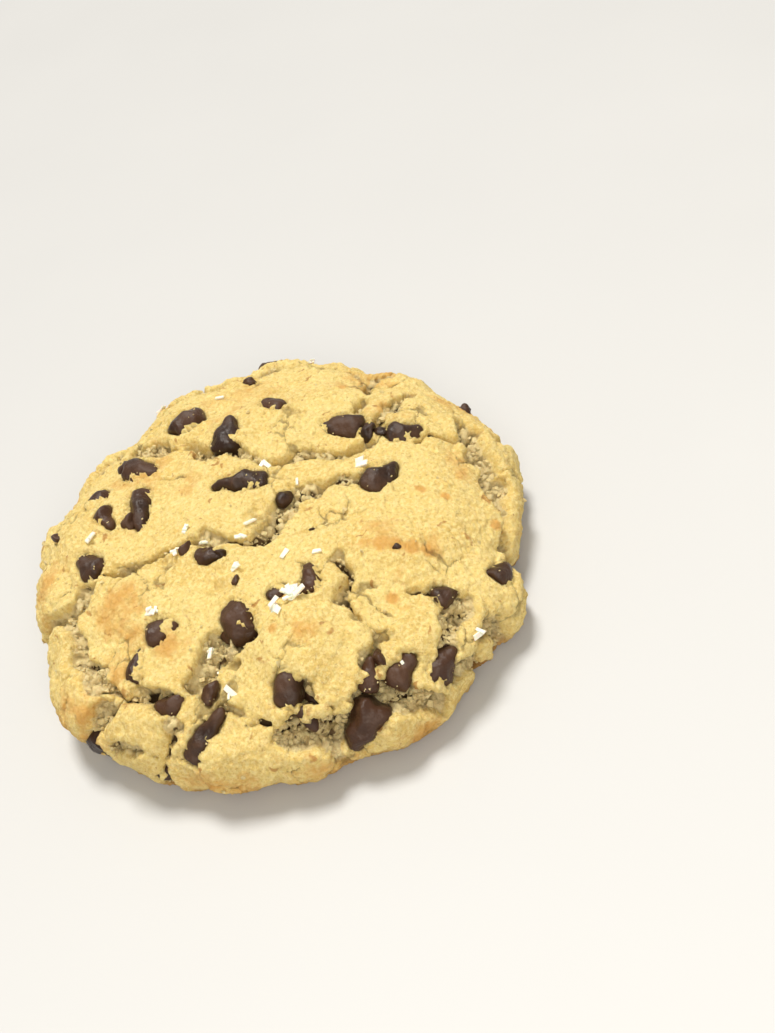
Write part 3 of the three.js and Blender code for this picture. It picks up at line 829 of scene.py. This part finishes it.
# Painted shade in the clefts, gaps, hairlines and pits
PAINTED_CLEFT_SHADE_RANGE = (0.25, 0.85, 0.0, 0.92)
BOTTOM_RANGE = (0.1, 1.0, 0.0, 0.85)
# Chocolate stain and painted contact shade next to the chips
STAIN_AND_CONTACT_SHADE_RANGE = (0.2, 0.9, 0.0, 0.8)
DOUGH_ROUGHNESS = (0.2, 0.8, 0.72, 0.92)
CHOCOLATE_ROUGHNESS = (0.3, 0.7, 0.28, 0.52)
SALT_ROUGHNESS = (0.3, 0.7, 0.25, 0.5)
FLOOR_ROUGHNESS = (0.3, 0.7, 0.62, 0.72)
BROWN_LIFT = 0.34

# Grain of a surface: scale, detail and roughness of its noise, height in metres, strength
DOUGH_GRAINS = [(1250, 5.0, 0.8, 0.0008, 1.0), (560, 3.0, 0.6, 0.0008, 0.8)]
CHOCOLATE_GRAINS = [(800, 4.0, 0.7, 0.0004, 0.8)]

DOUGH_GLOSS = 0.25
DOUGH_SOFTNESS = 0.10
DOUGH_SOFT_COLOURS = (1.0, 0.6, 0.3)
CHOCOLATE_GLOSS = 0.32
SALT_SOFTNESS = 0.3
SALT_REFRACTION = 1.54
SOFT_DEPTH = 0.001


class Shader:
    """A small helper that adds nodes to a material and links them."""

    def __init__(self, name):
        self.material = bpy.data.materials.new(name)
        self.material.use_nodes = True
        self.tree = self.material.node_tree
        self.surface = self.tree.nodes["Principled BSDF"]
        self.place = self.node("ShaderNodeTexCoord").outputs["Object"]

    def node(self, kind, **values):
        node = self.tree.nodes.new(kind)
        for name, value in values.items():
            setattr(node, name, value)
        return node

    def link(self, source, target):
        self.tree.links.new(source, target)

    def feed(self, socket, value):
        if isinstance(value, bpy.types.NodeSocket):
            self.link(value, socket)
        else:
            socket.default_value = value

    def set(self, **values):
        for name, value in values.items():
            self.feed(self.surface.inputs[name.replace("_", " ")], value)

    def noise(self, scale, detail, roughness, distortion=0.0):
        node = self.node("ShaderNodeTexNoise")
        self.link(self.place, node.inputs["Vector"])
        node.inputs["Scale"].default_value = scale
        node.inputs["Detail"].default_value = detail
        node.inputs["Roughness"].default_value = roughness
        node.inputs["Distortion"].default_value = distortion
        return node.outputs["Fac"]

    def attribute(self, name):
        return self.node("ShaderNodeAttribute", attribute_name=name).outputs["Fac"]

    def ramp(self, value, low, high, start, end):
        node = self.node("ShaderNodeMapRange", interpolation_type="SMOOTHSTEP")
        self.feed(node.inputs["Value"], value)
        for name, number in (("From Min", low), ("From Max", high), ("To Min", start), ("To Max", end)):
            node.inputs[name].default_value = number
        return node.outputs["Result"]

    def math(self, operation, a, b):
        node = self.node("ShaderNodeMath", operation=operation)
        self.feed(node.inputs[0], a)
        self.feed(node.inputs[1], b)
        return node.outputs[0]

    def mix(self, share, a, b):
        node = self.node("ShaderNodeMix", data_type="RGBA")
        self.feed(node.inputs["Factor"], share)
        self.feed(node.inputs["A"], a)
        self.feed(node.inputs["B"], b)
        return node.outputs["Result"]

    # The tint takes over from the base where the value is high
    def tinted(self, value, reach, base, tint):
        return self.mix(self.ramp(value, *reach), base, tint)

    def speckled(self, base, speckles):
        for scale, detail, roughness, distortion, low, high, strength, colour in speckles:
            value = self.noise(scale, detail, roughness, distortion)
            base = self.tinted(value, (low, high, 0.0, strength), base, colour)
        return base

    def grained(self, grain_rows):
        normal = None
        for scale, detail, roughness, height, strength in grain_rows:
            node = self.node("ShaderNodeBump")
            self.link(self.noise(scale, detail, roughness), node.inputs["Height"])
            node.inputs["Distance"].default_value = height
            node.inputs["Strength"].default_value = strength
            if normal is not None:
                self.link(normal, node.inputs["Normal"])
            normal = node.outputs["Normal"]
        return normal


def dough_material():
    shader = Shader("baked_dough")
    base = shader.speckled(CRUST, CRUST_SPECKLES)
    browned = shader.math("MULTIPLY", shader.attribute("brown"), BROWN_LIFT)
    toasted = shader.math("ADD", shader.noise(*TOAST_NOISE), browned)
    base = shader.tinted(toasted, TOAST_RANGE, base, TOAST)
    base = shader.speckled(base, BURNT_SPECKLES)
    crumb = shader.speckled(CRUMB, CRUMB_SPECKLES)
    bottom = shader.speckled(BOTTOM, BOTTOM_SPECKLES)
    base = shader.tinted(shader.attribute("crevice"), CREVICE_RANGE, base, crumb)
    # Painted shade, dark in the clefts, the gaps between lumps, the hairlines and the pits
    base = shader.tinted(shader.attribute("cleft"), PAINTED_CLEFT_SHADE_RANGE, base, PAINTED_CLEFT_SHADE)
    base = shader.tinted(shader.attribute("under"), BOTTOM_RANGE, base, bottom)
    # Chocolate stain round the chips, with painted shade where the dough meets them
    base = shader.tinted(shader.attribute("stain_and_contact_shade"), STAIN_AND_CONTACT_SHADE_RANGE, base, STAIN_AND_CONTACT_SHADE)
    blotches = shader.ramp(shader.noise(*COVERED_NOISE), *COVERED_NOISE_RANGE)
    covered = shader.math("MULTIPLY", shader.attribute("film"), blotches)
    base = shader.tinted(covered, COVERED_RANGE, base, COVERED_CHOCOLATE)

    rough = shader.ramp(shader.noise(*DOUGH_NOISE), *DOUGH_ROUGHNESS)
    shader.set(Base_Color=base, Roughness=rough, Normal=shader.grained(DOUGH_GRAINS))
    shader.surface.inputs["Specular IOR Level"].default_value = DOUGH_GLOSS
    shader.surface.inputs["Subsurface Weight"].default_value = DOUGH_SOFTNESS
    shader.surface.inputs["Subsurface Radius"].default_value = DOUGH_SOFT_COLOURS
    shader.surface.inputs["Subsurface Scale"].default_value = SOFT_DEPTH
    return shader.material


def chocolate_material():
    shader = Shader("baked_chocolate")
    base = shader.speckled(CHOCOLATE, CHOCOLATE_SPECKLES)
    rough = shader.ramp(shader.noise(*CHOCOLATE_NOISE), *CHOCOLATE_ROUGHNESS)
    shader.set(Base_Color=base, Roughness=rough, Normal=shader.grained(CHOCOLATE_GRAINS))
    shader.surface.inputs["Specular IOR Level"].default_value = CHOCOLATE_GLOSS
    return shader.material


def salt_material():
    shader = Shader("flaky_salt")
    cloud = shader.noise(*SALT_NOISE)
    base = shader.mix(cloud, SALT, SALT_WHITE)
    shader.set(Base_Color=base, Roughness=shader.ramp(cloud, *SALT_ROUGHNESS))
    shader.surface.inputs["Subsurface Weight"].default_value = SALT_SOFTNESS
    shader.surface.inputs["Subsurface Scale"].default_value = SOFT_DEPTH
    shader.surface.inputs["IOR"].default_value = SALT_REFRACTION
    return shader.material


def floor_material():
    shader = Shader("pale_floor")
    shade = shader.noise(*FLOOR_NOISE)
    base = shader.mix(shade, FLOOR, FLOOR_PALER)
    shader.set(Base_Color=base, Roughness=shader.ramp(shade, *FLOOR_ROUGHNESS))
    return shader.material


# Each chip's solid is rounded by subdivision and gets an uneven face
def chip_piece(name, solid, material):
    mesh = solid.data.copy()
    mesh.name = "baked_" + name
    work = bmesh.new()
    work.from_mesh(mesh)
    bmesh.ops.remove_doubles(work, verts=work.verts, dist=CHIP_WELD * MM)
    centre = sum((vert.co for vert in work.verts), Vector()) / len(work.verts)
    for vert in work.verts:
        vert.co = centre + (vert.co - centre) * CHIP_SWELL
    work.to_mesh(mesh)
    work.free()
    piece = linked("baked_" + name, mesh)
    rounding = piece.modifiers.new("rounding", "SUBSURF")
    rounding.levels = CHIP_ROUNDINGS
    rounding.render_levels = CHIP_ROUNDINGS
    rounding.subdivision_type = "CATMULL_CLARK"
    bake_modifiers(piece)
    points = read_vectors(piece.data.vertices, "co")
    normals = read_vectors(piece.data.vertices, "normal")
    places = points / MM
    bumps = layered(places, CHIP_BUMPS) - np.abs(layered(places, CHIP_FOLDS)) + CHIP_PLUMPING
    bumps += layered(places, CHIP_GRIT)
    points += normals * bumps[:, None] * MM
    points[:, 2] = np.maximum(0, points[:, 2])
    piece.data.vertices.foreach_set("co", points.ravel())
    piece.data.shade_smooth()
    hold(piece, material)
    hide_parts(name)
    return piece


def read_vectors(items, name):
    values = np.empty(len(items) * 3)
    items.foreach_get(name, values)
    return values.reshape(-1, 3)


def bake_modifiers(piece):
    shape = piece.evaluated_get(bpy.context.evaluated_depsgraph_get())
    mesh = bpy.data.meshes.new_from_object(shape)
    piece.modifiers.clear()
    piece.data = mesh


def add_shard(work, centre, facing, length, width, draw):
    half_long = 0.5 * length
    half_wide = 0.5 * width
    half_thick = 0.5 * SHARD_THICKNESS * MM
    corners = []
    for x, y in ((-1, -1), (1, -1), (1, 1), (-1, 1)):
        along = x * half_long * draw.uniform(*SHARD_SKEW_LONG)
        corners.append((along, y * half_wide * draw.uniform(*SHARD_SKEW_WIDE)))
    rows = []
    for level, share in SHARD_LEVELS:
        row = []
        for x, y in corners:
            spot = Vector((x * share, y * share, level * half_thick))
            row.append(work.verts.new(centre + facing @ spot))
        rows.append(row)
    work.faces.new(list(reversed(rows[0])))
    work.faces.new(rows[-1])
    for lower, upper in zip(rows[:-1], rows[1:]):
        for index in range(len(corners)):
            after = (index + 1) % len(corners)
            work.faces.new((lower[index], lower[after], upper[after], upper[index]))


def salt_piece(surface, material):
    draw = random.Random(SALT_SEED)
    work = bmesh.new()
    for across, along, length, shards in FLAKES:
        point, downhill, around, outward = place_frame(across, along)
        outward = Vector(outward)
        start = Vector((point + MIDDLE + RAY_START * np.array(outward)) * MM)
        hit = surface.ray_cast(start, -outward)[0] or start
        most_lean = PILE_LEAN if shards > 1 else SINGLE_LEAN
        for index in range(shards):
            turn = draw.uniform(0, 2 * math.pi)
            forward = Vector(downhill * math.cos(turn) + around * math.sin(turn)).normalized()
            lean = math.radians(draw.uniform(-most_lean, most_lean))
            facing = shard_facing(forward, outward, lean, draw.uniform(-SHARD_ROLL, SHARD_ROLL))
            size = length * MM * (1.0 if index == 0 else draw.uniform(*SMALLER_SHARDS))
            spread = PILE_SPREAD * length * MM * (index > 0)
            shift = facing @ Vector((draw.uniform(-spread, spread), draw.uniform(-spread, spread), 0))
            height = (PILE_LIFT + PILE_STACKING * index) * MM
            width = size * SHARD_SLIMNESS * draw.uniform(*SHARD_WIDTHS)
            add_shard(work, hit + outward * height + shift, facing, size, width, draw)
    bmesh.ops.triangulate(work, faces=work.faces)
    mesh = bpy.data.meshes.new("salt_flakes")
    work.to_mesh(mesh)
    work.free()
    return hold(linked("salt_flakes", mesh), material)


def shard_facing(forward, outward, lean, roll):
    side = outward.cross(forward).normalized()
    turned = Matrix((forward, side, outward)).transposed().to_quaternion()
    return turned @ Quaternion((0, 1, 0), lean) @ Quaternion((1, 0, 0), roll)


# Shapes of small things that lie about, about 1 in radius
def lump_shape(draw):
    work = bmesh.new()
    bmesh.ops.create_icosphere(work, subdivisions=3, radius=1.0)
    offset = Vector([draw.uniform(-BIT_OFFSET, BIT_OFFSET) for _ in range(3)])
    for vert in work.verts:
        swelling = 1
        for height, fineness in BIT_LUMPS:
            swelling += height * noise.noise(vert.co * fineness + offset)
        vert.co *= swelling
        vert.co.z *= BIT_FLATNESS
    return drained(work)


def crumb_shape(draw):
    work = bmesh.new()
    for _ in range(CRUMB_CORNERS):
        spot = Vector((draw.gauss(0, 1), draw.gauss(0, 1), draw.gauss(0, CRUMB_FLATNESS))).normalized()
        work.verts.new(spot * draw.uniform(*CRUMB_CORNER_REACH))
    hull = bmesh.ops.convex_hull(work, input=work.verts)
    loose = [item for item in hull["geom_interior"] if isinstance(item, bmesh.types.BMVert)]
    bmesh.ops.delete(work, geom=loose, context="VERTS")
    bmesh.ops.triangulate(work, faces=work.faces)
    return drained(work)


# The mesh's points and triangles, after which it is freed
def drained(work):
    work.verts.index_update()
    points = np.array([vert.co[:] for vert in work.verts])
    faces = np.array([[vert.index for vert in face.verts] for face in work.faces])
    work.free()
    return points, faces


def scattered(name, spots, shape, material, draw):
    shapes = [shape(draw) for _ in range(SHAPES_OF_A_KIND)]
    all_points = []
    all_faces = []
    total = 0
    for centre, radius in spots:
        points, faces = draw.choice(shapes)
        turn = Quaternion([draw.gauss(0, 1) for _ in range(4)]).normalized()
        all_points.append((points * radius) @ np.array(turn.to_matrix()).T + centre)
        all_faces.append(faces + total)
        total += len(points)
    mesh = bpy.data.meshes.new(name)
    mesh.from_pydata(np.concatenate(all_points).tolist(), [], np.concatenate(all_faces).tolist())
    if shape is lump_shape:
        mesh.shade_smooth()
    pale = mesh.attributes.new("crevice", "FLOAT", "POINT")
    pale.data.foreach_set("value", np.full(total, CRUMB_PALENESS, np.float32))
    return hold(linked(name, mesh), material)


def crumb_spots(dough, draw):
    weight = np.where(dough.skin, dough.crevice ** 2 * (1 - dough.film) + CRUMB_ANYWHERE, 0)
    weight *= dough.points[:, 2] > CRUMB_LOWEST * MM
    order = np.cumsum(weight)
    least, most = CRUMB_RADII
    spots = []
    for _ in range(CRUMB_COUNT):
        index = int(np.searchsorted(order, draw.uniform(0, order[-1])))
        radius = (least + (most - least) * draw.random() ** CRUMB_SMALLNESS) * MM
        spots.append((dough.points[index] + dough.normals[index] * radius * CRUMB_SEAT, radius))
    return spots


# Places on the chips that the dough leaves bare
def bare_chip_spots(chips, surface, draw):
    places = []
    for chip in chips:
        points = read_vectors(chip.data.vertices, "co")
        normals = read_vectors(chip.data.vertices, "normal")
        places += list(zip(points[::DUST_SAMPLING], normals[::DUST_SAMPLING]))
    spots = []
    while len(spots) < DUST_COUNT:
        point, normal = draw.choice(places)
        facing = Vector(normal)
        start = Vector(point) + facing * DUST_START * MM
        hit = surface.ray_cast(start, facing, DUST_CLEARANCE * MM)[0]
        if normal[2] > DUST_STEEPEST and hit is None:
            spots.append((point, draw.uniform(*DUST_RADII) * MM))
    return spots


def bit_spots(surface):
    spots = []
    for across, along, length in BITS:
        point, _, _, outward = place_frame(across, along)
        start = Vector((point + MIDDLE + RAY_START * outward) * MM)
        hit = surface.ray_cast(start, -Vector(outward))[0]
        spots.append((np.array(hit) - outward * BIT_SEAT * length * MM, 0.5 * length * MM))
    return spots


def camera_and_lights():
    elevation = math.radians(CAMERA_ELEVATION)
    roll = math.radians(CAMERA_ROLL)
    back = Vector((0, -math.cos(elevation), math.sin(elevation)))
    right = Vector((1, 0, 0))
    up = back.cross(right)
    across = math.cos(roll) * right - math.sin(roll) * up
    upward = math.sin(roll) * right + math.cos(roll) * up
    level = Matrix((across, upward, back)).transposed().to_quaternion()
    aim = Vector((AIM_PIXEL[0] - FRAME_WIDTH / 2, FRAME_HEIGHT / 2 - AIM_PIXEL[1], -FOCAL_PIXELS))
    swing = aim.rotation_difference(Vector((0, 0, -1)))
    lens = bpy.data.cameras.new("camera")
    lens.sensor_width = SENSOR
    lens.lens = FOCAL_PIXELS / FRAME_HEIGHT * SENSOR
    lens.clip_start = CAMERA_NEAREST
    camera = bpy.data.objects.new("camera", lens)
    camera.rotation_mode = "QUATERNION"
    camera.rotation_quaternion = level @ swing
    camera.location = CAMERA_AIM + back * CAMERA_DISTANCE
    bpy.context.scene.collection.objects.link(camera)
    bpy.context.scene.camera = camera

    key = bpy.data.lights.new("key", "SUN")
    key.energy = KEY_STRENGTH
    key.angle = math.radians(KEY_ANGLE)
    add_light(key, KEY_PLACE, KEY_COLOUR)
    fill = bpy.data.lights.new("fill", "AREA")
    fill.shape = "DISK"
    fill.size = FILL_SIZE
    fill.energy = FILL_STRENGTH
    add_light(fill, FILL_PLACE, FILL_COLOUR)
    world = bpy.data.worlds.new("studio")
    world.use_nodes = True
    background = world.node_tree.nodes["Background"]
    background.inputs["Color"].default_value = WORLD_COLOUR
    background.inputs["Strength"].default_value = WORLD_STRENGTH
    bpy.context.scene.world = world
    bpy.context.scene.view_settings.view_transform = "Standard"


def add_light(data, place, colour):
    data.color = colour
    light = bpy.data.objects.new(data.name, data)
    light.location = place
    light.rotation_mode = "QUATERNION"
    light.rotation_quaternion = (CAMERA_AIM - place).to_track_quat("-Z", "Y")
    bpy.context.scene.collection.objects.link(light)


def floor():
    work = bmesh.new()
    bmesh.ops.create_grid(work, x_segments=2, y_segments=2, size=FLOOR_REACH)
    mesh = bpy.data.meshes.new("floor")
    work.to_mesh(mesh)
    work.free()
    piece = linked("floor", mesh)
    piece.data.materials.append(floor_material())


# A tree of all faces of the pieces, for rays and distances
def joined_tree(pieces):
    points = []
    faces = []
    for piece in pieces:
        first = len(points)
        points += [vert.co.copy() for vert in piece.data.vertices]
        faces += [[first + index for index in face.vertices] for face in piece.data.polygons]
    return BVHTree.FromPolygons(points, faces)


chocolate = chocolate_material()
baked = dough_material()
chip_names = sorted(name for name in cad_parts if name.startswith("chip_"))
chips = [chip_piece(name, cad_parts[name], chocolate) for name in chip_names]
chip_tree = joined_tree(chips)

dough = Dough(chip_tree)
dough_piece = hold(dough.piece(), baked)
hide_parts("dough")
dough_tree = joined_tree([dough_piece])

salt_piece(dough_tree, salt_material())
draw = random.Random(CRUMB_SEED)
crumbs = crumb_spots(dough, draw) + bare_chip_spots(chips, dough_tree, draw)
scattered("dough_crumbs", crumbs, crumb_shape, baked, draw)
scattered("chocolate_bits", bit_spots(dough_tree), lump_shape, chocolate, draw)

camera_and_lights()
floor()
